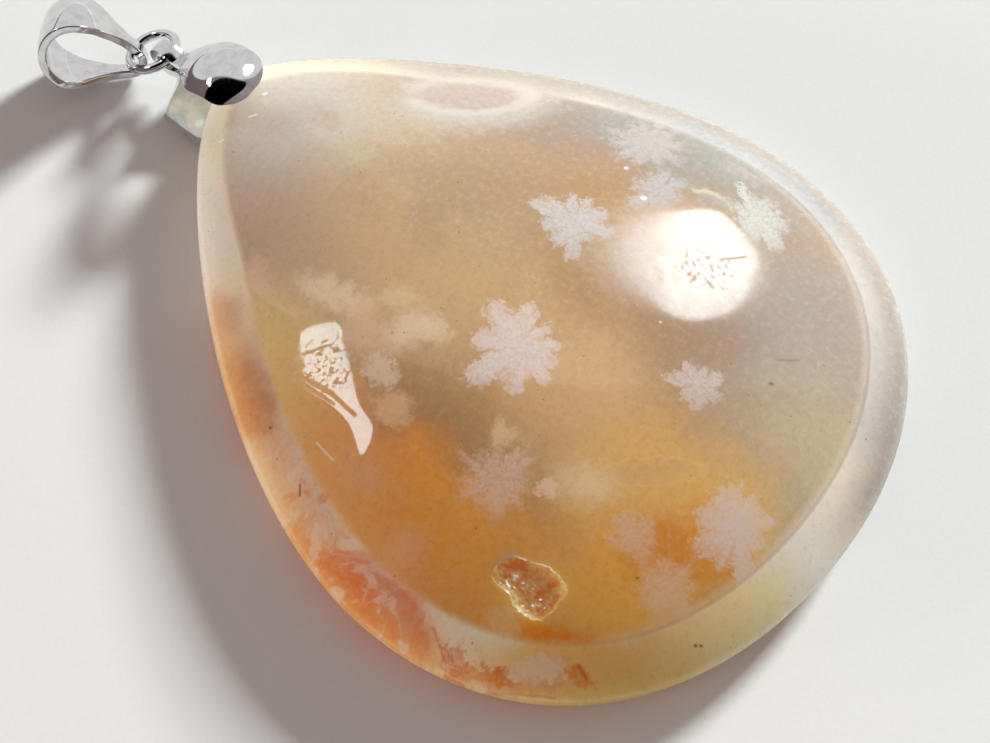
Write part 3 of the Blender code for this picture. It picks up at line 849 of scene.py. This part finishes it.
FLOWERS = [
    Flower("upper_star", (0.71, 5.51), [(18, 2.49), (65, 2.27), (103, 2.15), (132, 2.17), (186, 2.9),
           (232, 2.03), (280, 2.08), (309, 2.86), (354, 1.81)], 0.8, 0.55, 0.2, 0.95, (203, 199, 197)),
    Flower("edge_rays", (-0.32, 14.34), [(3, 2.55), (39, 2.19), (82, 2.24), (106, 2.19), (133, 2.15),
           (163, 2.1), (199, 2.61), (228, 2.41), (261, 2.77), (286, 2.25), (331, 2.06)],
           0.74, 0.75, 0.4, 0.85, (188, 179, 176)),
    Flower("haze_star", (2.81, 11.62), [(14, 1.4), (65, 1.76), (116, 1.52), (168, 1.32), (211, 1.81),
           (271, 2.63), (298, 1.7)], 0.8, 0.7, 0.4, 0.75, (189, 188, 193)),
    Flower("dotted_oval", (8.57, 14.59), [(25, 1.81), (110, 1.67), (153, 2.61), (183, 1.67), (301, 1.95),
           (331, 2.65)], 0.92, 0.8, 0.4, 0.75, (206, 210, 207)),
    Flower("middle_star", (4.02, -3.19), [(15, 2.6), (46, 2.52), (73, 2.1), (118, 2.8), (165, 3.4),
           (209, 2.9), (257, 3.7), (305, 3.0), (345, 2.8)], 0.72, 0.5, 0.2, 0.95, (231, 216, 209)),
    Flower("small_star", (13.3, 2.32), [(10, 1.47), (62, 1.59), (108, 1.29), (153, 1.38), (212, 1.83),
           (272, 1.37), (305, 1.5)], 0.82, 0.5, 0.18, 0.9, (217, 200, 193)),
    Flower("lobed_star", (20.4, -2.76), [(25, 2.01), (55, 2.58), (102, 2.42), (124, 2.76), (157, 2.45),
           (203, 2.26), (252, 2.74), (295, 2.41), (321, 2.8)], 0.8, 0.55, 0.28, 0.85, (219, 201, 193)),
    Flower("low_star", (16.52, -7.16), [(49, 1.24), (86, 1.41), (139, 1.35), (180, 1.39), (240, 1.55),
           (286, 1.14), (325, 1.48), (357, 1.38)], 0.85, 0.4, 0.28, 0.75, (225, 193, 173)),
    Flower("pink_star", (19.73, -8.0), [(45, 1.53), (82, 1.81), (135, 1.55), (185, 1.59), (246, 1.73),
           (288, 1.8), (348, 1.77)], 0.88, 0.45, 0.4, 0.75, (227, 192, 168)),
    Flower("deep_star", (8.32, -10.2), [(28, 1.92), (83, 2.41), (132, 1.75), (158, 1.99), (181, 2.34),
           (216, 1.95), (249, 2.31), (272, 1.81), (315, 2.12), (354, 1.98)],
           0.82, 0.45, 0.45, 0.7, (236, 208, 191)),
]

# Thin curved lines; start and finish are angles in degrees round the oval
ARCS = [
    Arc((236, 200, 140), (14.8, -3.6), (3.1, 0.8), 47, 0.16, -179, 179, 0.28),
    Arc((228, 190, 130), (14.9, -3.7), (2.4, 0.45), 47, 0.2, -179, 60, 0.22),
    Arc((214, 206, 198), (-11.75, 9.5), (3.9, 1.85), 45, 0.3, -178, 20, 0.5),
    Arc((206, 196, 188), (-11.75, 9.5), (3.95, 1.9), 45, 0.3, -20, 179, 0.35),
    Arc((216, 206, 170), (6.1, 12.2), (1.85, 1.85), 0, 0.18, 40, 165, 0.6),
    Arc((160, 142, 124), (6.1, 12.0), (2.3, 2.1), 0, 0.12, 5, 100, 0.5),
]

# Small straight marks: flecks, nicks, and shiny specks that are painted glints
FLECKS_AND_GLINTS = [
    Line((150, 112, 70), (15.78, 7.23), (16.7, 8.2), 0.13, 0.55),
    Line((150, 84, 50), (16.4, 5.66), (16.5, 5.74), 0.17, 0.9),
    Line((80, 66, 58), (-5.06, -16.08), (-5.0, -16.04), 0.13, 0.9),
    Line((96, 70, 50), (22.96, -9.14), (23.0, -9.1), 0.16, 0.9),
    Line((96, 70, 50), (23.2, -8.9), (23.24, -8.86), 0.14, 0.9),
    Line((110, 70, 44), (18.1, -8.8), (18.14, -8.76), 0.12, 0.8),
    Line((120, 76, 40), (-1.02, -17.51), (-0.6, -17.95), 0.12, 0.75),
    Line((168, 142, 104), (6.2, 13.2), (8.3, 12.98), 0.3, 0.5),
    Line((168, 148, 122), (8.3, 12.98), (10.3, 12.5), 0.3, 0.5),
    Line((180, 86, 48), (18.7, -14.6), (19.5, -14.8), 0.16, 0.6),
    Line((196, 110, 70), (11.0, -18.6), (12.6, -19.4), 0.14, 0.4),
    Line((196, 110, 70), (15.4, -19.3), (18.8, -16.7), 0.12, 0.35),
    # Painted glints: the six near-white specks below.
    Line((250, 248, 244), (0.19, 11.38), (0.23, 11.4), 0.2, 1.0),
    Line((250, 248, 244), (2.6, 10.14), (2.64, 10.2), 0.28, 1.0),
    Line((240, 226, 200), (9.16, 3.78), (9.2, 3.8), 0.13, 0.9),
    Line((250, 246, 240), (-22.3, -3.86), (-22.1, -3.6), 0.14, 0.9),
    Line((250, 246, 240), (-21.8, -1.38), (-21.5, -1.0), 0.12, 0.9),
    Line((250, 246, 240), (-22.4, 0.6), (-22.36, 0.7), 0.22, 0.9),
    Line((244, 226, 206), (-1.81, -15.09), (-0.26, -15.26), 0.12, 0.9),
]


# Roughness of the clear polish
POLISH = 0.03

# Place, reach, turn, fogging and pitting of the places where the polish is worn
WORN_PLACES = [
    ((7.8, 8.4), (5.5, 4.0), 42, 0.16, 0.0),
    ((5.2, 7.0), (2.6, 3.2), 42, 0.16, 0.0),
    ((8.6, 8.9), (1.6, 1.5), 42, 0.0, 0.8),
    ((-4.6, -11.2), (2.2, 1.6), 42, 0.03, 0.7),
]

# Ends and widths of scratches in the polish
WORN_LINES = [
    ((-5.2, -12.6), (-3.1, -12.35), 0.22),
    ((-3.1, -12.35), (-1.0, -12.5), 0.2),
    ((-4.9, -12.9), (-2.6, -12.75), 0.16),
    ((9.0, 9.93), (9.94, 11.34), 0.12),
    ((-6.4, -11.6), (-5.4, -10.2), 0.14),
]


def polish_wear(tree, flat, patch, scratch):
    """Roughness of the polish: clear, with fogged streaky places and small pits where it is worn."""
    streaks = noise_of(tree, vector_of(tree, "MULTIPLY", flat, (0.6, 2.4, 0.0)), 1.3, 4.0, 0.7)
    streaky = step_of(tree, streaks.outputs["Fac"], 0.3, 0.7)
    dots = noise_of(tree, flat, 2.8, 3.0, 0.7)
    pits = step_of(tree, dots.outputs["Fac"], 0.54, 0.6)
    rough = POLISH
    for place, reach, turn, fog, pitted in WORN_PLACES:
        mask = use_group(tree, patch, Position=flat, **oval(place, reach, turn), Edge=0.5,
                         Strength=1.0)["Mask"]
        wear = math_of(tree, "ADD", product(tree, streaky, fog * 0.6),
                       product(tree, pits, pitted))
        wear = math_of(tree, "ADD", wear, fog * 0.4)
        rough = math_of(tree, "ADD", rough, product(tree, mask, wear))
    for start, finish, width in WORN_LINES:
        mask = use_group(tree, scratch, Position=flat, Start=(*start, 0.0), Finish=(*finish, 0.0),
                         Width=width, Strength=0.8)["Mask"]
        rough = math_of(tree, "ADD", rough, mask)
    return rough


def edge_colours(tree, colour, flat, ring):
    """The line round the shoulder on the blunt side, a painted shade that darkens the rim facing the window
    lamp, and a painted glow that mixes the near rim towards orange, partly the stone's own orange.
    """
    parts = tree.nodes.new("ShaderNodeSeparateXYZ")
    feed(tree, parts.inputs[0], flat)
    along, aside = parts.outputs["X"], parts.outputs["Y"]
    blunt_side = product(tree, step_of(tree, along, 3.0, 11.0), step_of(tree, aside, -16.0, -9.0))
    off_shoulder = math_of(tree, "SUBTRACT", ring, SHOULDER_V)
    off_dark = math_of(tree, "ABSOLUTE", math_of(tree, "ADD", off_shoulder, 0.004))
    dark = step_of(tree, off_dark, 0.008, 0.002)
    off_light = math_of(tree, "ABSOLUTE", math_of(tree, "SUBTRACT", off_shoulder, 0.008))
    light = step_of(tree, off_light, 0.008, 0.001)
    dark = product(tree, product(tree, dark, blunt_side), 0.32)
    light = product(tree, product(tree, light, blunt_side), 0.14)
    colour = mixed(tree, dark, colour, paint(140, 122, 104))
    colour = mixed(tree, light, colour, paint(226, 216, 204))
    rim = step_of(tree, ring, SHOULDER_V, GIRDLE_V + 0.06)
    # Painted shade: the rim on the window lamp's side is mixed towards grey.
    shaded_far_rim = product(tree, step_of(tree, aside, -1.0, 6.0), rim)
    # Painted glow, partly the stone's own orange: the near rim is mixed towards orange in place of light that
    # passes through the stone.
    glowing_near_rim = product(tree, step_of(tree, aside, -8.0, -16.0), step_of(tree, along, 24.0, 12.0))
    glowing_near_rim = product(tree, glowing_near_rim, rim)
    colour = mixed(tree, product(tree, shaded_far_rim, 0.8), colour, paint(116, 116, 116))
    return mixed(tree, product(tree, glowing_near_rim, 0.45), colour, paint(248, 166, 82))


def agate_material():
    material, tree, shader, place = new_material("flower_agate")
    flat = flattened(tree, place)
    drift = noise_of(tree, flat, 0.22, 2.0, dimensions="3D")
    sway = shift_of(tree, drift, DRIFT_REACH)
    wandering = flattened(tree, vector_of(tree, "ADD", flat, sway))
    ruffle = noise_of(tree, flat, 1.3, 4.0, 0.7)
    stir = shift_of(tree, ruffle, RUFFLE_REACH)
    ruffled = flattened(tree, vector_of(tree, "ADD", flat, stir))

    patch = soft_patch_group()

    def lay_clouds(colour, clouds, position):
        for cloud in clouds:
            mask = use_group(tree, patch, Position=position, **oval(cloud.place, cloud.reach, cloud.turn),
                             Edge=cloud.edge, Strength=cloud.strength)["Mask"]
            colour = mixed(tree, mask, colour, paint(*cloud.colour))
        return colour

    body = lay_clouds(lay_clouds(GROUND, BODY_CLOUDS_AND_PAINTED_LIGHT, wandering), VEILS_AND_HIGHLIGHT_HAZE, ruffled)
    band = lay_clouds(lay_clouds(BAND_GROUND_AND_PAINTED_LIGHT, BAND_CLOUDS_AND_PAINTED_LIGHT, wandering), BAND_MARKS, ruffled)
    layout = tree.nodes.new("ShaderNodeUVMap")
    layout.uv_map = "UVMap"
    parts = tree.nodes.new("ShaderNodeSeparateXYZ")
    feed(tree, parts.inputs[0], layout.outputs["UV"])
    on_band = step_of(tree, parts.outputs["Y"], SHOULDER_V + SEAM, SHOULDER_V - SEAM)
    colour = mixed(tree, on_band, body, band)
    colour = edge_colours(tree, colour, flat, parts.outputs["Y"])

    vein = noise_of(tree, wandering, 0.6, 4.0, 0.6)
    low_band = use_group(tree, patch, Position=flat, **oval((6.0, -18.6), (10.5, 2.6), -9.0),
                         Edge=0.4, Strength=0.5)["Mask"]
    wisps = product(tree, step_of(tree, vein.outputs["Fac"], 0.5, 0.38), product(tree, low_band, on_band))
    rust = product(tree, step_of(tree, vein.outputs["Fac"], 0.52, 0.66), product(tree, low_band, on_band))
    colour = mixed(tree, rust, colour, paint(226, 124, 66))
    colour = mixed(tree, wisps, colour, paint(240, 208, 190))

    mottle = noise_of(tree, flat, 2.0, 5.0, 0.8)
    pale = product(tree, step_of(tree, mottle.outputs["Fac"], 0.48, 0.72), 0.16)
    deep = product(tree, step_of(tree, mottle.outputs["Fac"], 0.5, 0.3), 0.16)
    colour = mixed(tree, pale, colour, paint(236, 214, 184))
    colour = mixed(tree, deep, colour, paint(160, 112, 66))

    specks = tree.nodes.new("ShaderNodeTexVoronoi")
    feed(tree, specks.inputs["Vector"], flat)
    specks.inputs["Scale"].default_value = 1.5
    chosen = tree.nodes.new("ShaderNodeSeparateColor")
    feed(tree, chosen.inputs[0], specks.outputs["Color"])
    over = math_of(tree, "SUBTRACT", chosen.outputs[0], SPECKLESS_SHARE)
    size = product(tree, math_of(tree, "MAXIMUM", over, 0.0), SPECK_SIZE)
    speck = step_of(tree, specks.outputs["Distance"], math_of(tree, "ADD", size, 0.005),
                    product(tree, size, 0.4))
    colour = mixed(tree, product(tree, speck, 0.75), colour, paint(130, 84, 48))

    fuzz = noise_of(tree, flat, 2.0, 5.0, 0.8)
    ragged = product(tree, math_of(tree, "SUBTRACT", fuzz.outputs["Fac"], 0.5), 1.6)
    shiver = shift_of(tree, fuzz, SHIVER_REACH)
    bent = vector_of(tree, "ADD", flat, vector_of(tree, "SCALE", stir, scale=BEND_SHARE))
    bent = flattened(tree, bent)
    frosted = flattened(tree, vector_of(tree, "ADD", bent, shiver))
    sugar = noise_of(tree, place, 4.0, 3.0, 0.8, "3D")
    grain = step_of(tree, sugar.outputs["Fac"], 0.36, 0.62)
    find = flower_place_group()
    petals = flower_petals_group()
    for flower in FLOWERS:
        seen = use_group(tree, find, Position=frosted, Centre=(*flower.place, 0.0),
                         Seed=7.3 * flower.place[0])
        reach = petal_curve(tree, seen["Angle"], flower)
        mask = use_group(tree, petals, Distance=seen["Distance"], Petal_Reach=reach, Rays=seen["Rays"],
                         Ragged=ragged, Grain=grain, Fuzz=flower.fuzz, Softness=flower.softness,
                         Strength=flower.strength)["Mask"]
        colour = mixed(tree, mask, colour, paint(*flower.colour))

    arc_group = arc_line_group()
    for arc in ARCS:
        mask = use_group(tree, arc_group, Position=bent, **oval(arc.place, arc.reach, arc.turn),
                         Width=arc.width, From=math.radians(arc.start), To=math.radians(arc.finish), Fade=0.4,
                         Strength=arc.strength)["Mask"]
        colour = mixed(tree, mask, colour, paint(*arc.colour))

    line_group = scratch_group()
    for line in FLECKS_AND_GLINTS:
        mask = use_group(tree, line_group, Position=flat, Start=(*line.start, 0.0),
                         Finish=(*line.finish, 0.0), Width=line.width, Strength=line.strength)["Mask"]
        colour = mixed(tree, mask, colour, paint(*line.colour))

    feed(tree, shader.inputs["Base Color"], colour)
    feed(tree, shader.inputs["Roughness"], polish_wear(tree, flat, patch, line_group))
    let_light_in(shader, 12.0 * MM)
    return material


def crystal_material():
    material, tree, shader, place = new_material("pit_crystals")
    grain = noise_of(tree, place, 2.0, 4.0, 0.6, "3D")
    share = step_of(tree, grain.outputs["Fac"], 0.35, 0.65)
    feed(tree, shader.inputs["Base Color"], mixed(tree, share, paint(244, 178, 94), paint(255, 222, 160)))
    shader.inputs["Roughness"].default_value = 0.12
    let_light_in(shader, 6.0 * MM)
    return material


def chrome_material():
    material, tree, shader, place = new_material("polished_chrome")
    wear = noise_of(tree, place, 1.2, 4.0, 0.6, "3D")
    share = step_of(tree, wear.outputs["Fac"], 0.4, 0.7)
    feed(tree, shader.inputs["Base Color"], mixed(tree, share, paint(222, 222, 224), paint(205, 205, 208)))
    rough = math_of(tree, "ADD", 0.05, product(tree, share, 0.06))
    feed(tree, shader.inputs["Roughness"], rough)
    shader.inputs["Metallic"].default_value = 1.0
    return material


CHROME = chrome_material()


def make_floor():
    """A sheet of fine-grained white paper."""
    deselect_all()
    bpy.ops.mesh.primitive_plane_add(size=3.0, location=(0.0, 0.0, -0.02 * MM))
    floor = bpy.context.object
    floor.name = "paper_floor"
    material, tree, shader, place = new_material("white_paper")
    grain = noise_of(tree, place, 3.0, 3.0, 0.7, "3D")
    tone = mixed(tree, grain.outputs["Fac"], paint(226, 226, 224), paint(234, 234, 232))
    feed(tree, shader.inputs["Base Color"], tone)
    shader.inputs["Roughness"].default_value = 0.9
    shader.inputs["Specular IOR Level"].default_value = 0.1
    bump = tree.nodes.new("ShaderNodeBump")
    bump.inputs["Strength"].default_value = 0.12
    bump.inputs["Distance"].default_value = 0.05 * MM
    feed(tree, bump.inputs["Height"], grain.outputs["Fac"])
    feed(tree, shader.inputs["Normal"], bump.outputs["Normal"])
    floor.data.materials.append(material)


LAMP_DISTANCE = 2.0

# Corners of the two windows that the dome mirrors
HIGH_WINDOW = [(-0.1307, 0.373, 0.3219), (-0.132, 0.4038, 0.2836), (-0.1008, 0.4377, 0.247),
               (-0.0602, 0.4356, 0.2639), (-0.0088, 0.4207, 0.2936), (0.0233, 0.3839, 0.3383),
               (0.0438, 0.3427, 0.3769), (0.0344, 0.3016, 0.4099), (0.0114, 0.2809, 0.4245),
               (-0.0313, 0.2803, 0.4231), (-0.0932, 0.3231, 0.3817)]
FAR_WINDOW = [(-0.3506, -0.1511, 0.341), (-0.344, -0.1338, 0.3539), (-0.3242, -0.1068, 0.3792),
              (-0.3109, -0.1199, 0.3857), (-0.2929, -0.1422, 0.3917), (-0.2718, -0.1646, 0.3978),
              (-0.2465, -0.1756, 0.4091), (-0.2415, -0.2126, 0.3952), (-0.2701, -0.1933, 0.3865),
              (-0.2918, -0.1898, 0.3729), (-0.3104, -0.19, 0.3583), (-0.3346, -0.1814, 0.3418)]


def direction(azimuth, elevation):
    a = math.radians(azimuth)
    e = math.radians(elevation)
    return Vector((math.cos(a) * math.cos(e), math.sin(a) * math.cos(e), math.sin(e)))


def make_lamp(name, azimuth, elevation, size, power, colour):
    """An area lamp that faces the stone from a direction, and that the polish doesn't mirror."""
    data = bpy.data.lights.new(name, "AREA")
    data.shape = "RECTANGLE"
    data.size, data.size_y = size
    data.energy = power
    data.color = colour
    lamp = bpy.data.objects.new(name, data)
    bpy.context.scene.collection.objects.link(lamp)
    way = direction(azimuth, elevation)
    lamp.location = way * LAMP_DISTANCE
    lamp.rotation_euler = way.to_track_quat("Z", "Y").to_euler()
    lamp.visible_glossy = False


def make_window(name, corners, strength, colour=(1.0, 0.98, 0.97, 1.0)):
    """A sheet with rounded corners that only the polish mirrors: a window or, at strength 0, a dark shape."""
    mesh = bpy.data.meshes.new(name)
    rim = smooth_route([Vector(corner) for corner in corners + corners[:1]])[:-1]
    mesh.from_pydata(rim, [], [list(range(len(rim)))])
    window = bpy.data.objects.new(name, mesh)
    bpy.context.scene.collection.objects.link(window)
    window.visible_camera = False
    window.visible_diffuse = False
    window.visible_shadow = False
    material = bpy.data.materials.new(name)
    material.use_nodes = True
    tree = material.node_tree
    tree.nodes.clear()
    glow = tree.nodes.new("ShaderNodeEmission")
    glow.inputs["Color"].default_value = colour
    glow.inputs["Strength"].default_value = strength
    out = tree.nodes.new("ShaderNodeOutputMaterial")
    feed(tree, out.inputs["Surface"], glow.outputs["Emission"])
    mesh.materials.append(material)


def oval_corners(azimuth, elevation, half_width, half_height, distance):
    """Corners of an oval that faces the stone from a distance; its half sizes are angles in degrees."""
    centre = direction(azimuth, elevation)
    level = Vector((0.0, 0.0, 1.0)).cross(centre).normalized()
    upright = centre.cross(level)
    corners = []
    for i in range(12):
        turn = math.tau * i / 12
        off = level * math.tan(math.radians(half_width)) * math.cos(turn)
        off += upright * math.tan(math.radians(half_height)) * math.sin(turn)
        corners.append(tuple((centre + off) * distance))
    return corners


def make_lights():
    make_lamp("window_wall", 93.0, 20.0, (0.36, 0.28), 84.0, (0.94, 1.0, 0.99))
    make_lamp("low_glow", -125.0, 5.0, (0.8, 0.3), 27.0, (1.0, 0.85, 0.76))
    make_window("high_window", HIGH_WINDOW, 14.0, (0.94, 0.99, 1.0, 1.0))
    make_window("far_window", FAR_WINDOW, 10.0, (0.8, 0.95, 1.0, 1.0))
    make_window("dark_onlooker", oval_corners(-48.0, 77.0, 46.0, 24.0, 0.5), 0.0)
    make_window("pale_ceiling", oval_corners(130.0, 38.0, 60.0, 40.0, 0.9), 0.8)
    world = bpy.data.worlds.new("room")
    bpy.context.scene.world = world
    world.use_nodes = True
    tree = world.node_tree
    back = tree.nodes["Background"]
    coordinates = tree.nodes.new("ShaderNodeTexCoord")
    facing = vector_of(tree, "DOT_PRODUCT", coordinates.outputs["Generated"], tuple(direction(70.0, 25.0)))
    share = step_of(tree, facing, -0.4, 1.0)
    feed(tree, back.inputs["Color"], mixed(tree, share, (0.42, 0.32, 0.33, 1.0), (0.9, 0.82, 0.82, 1.0)))
    back.inputs["Strength"].default_value = 0.45


def make_camera():
    data = bpy.data.cameras.new("photo_view")
    data.sensor_width = SENSOR_WIDTH
    data.lens = LENS_LENGTH
    data.clip_start = 0.001
    camera = bpy.data.objects.new("photo_view", data)
    bpy.context.scene.collection.objects.link(camera)
    turn = Matrix((CAMERA_RIGHT, CAMERA_UP, CAMERA_BACK)).transposed().to_4x4()
    camera.matrix_world = Matrix.Translation(CAMERA_PLACE) @ turn
    bpy.context.scene.camera = camera


bpy.context.scene.view_settings.view_transform = "Standard"
make_camera()
make_floor()
make_lights()
make_stone()
make_pinch_bail()
make_link_ring()
make_slider()
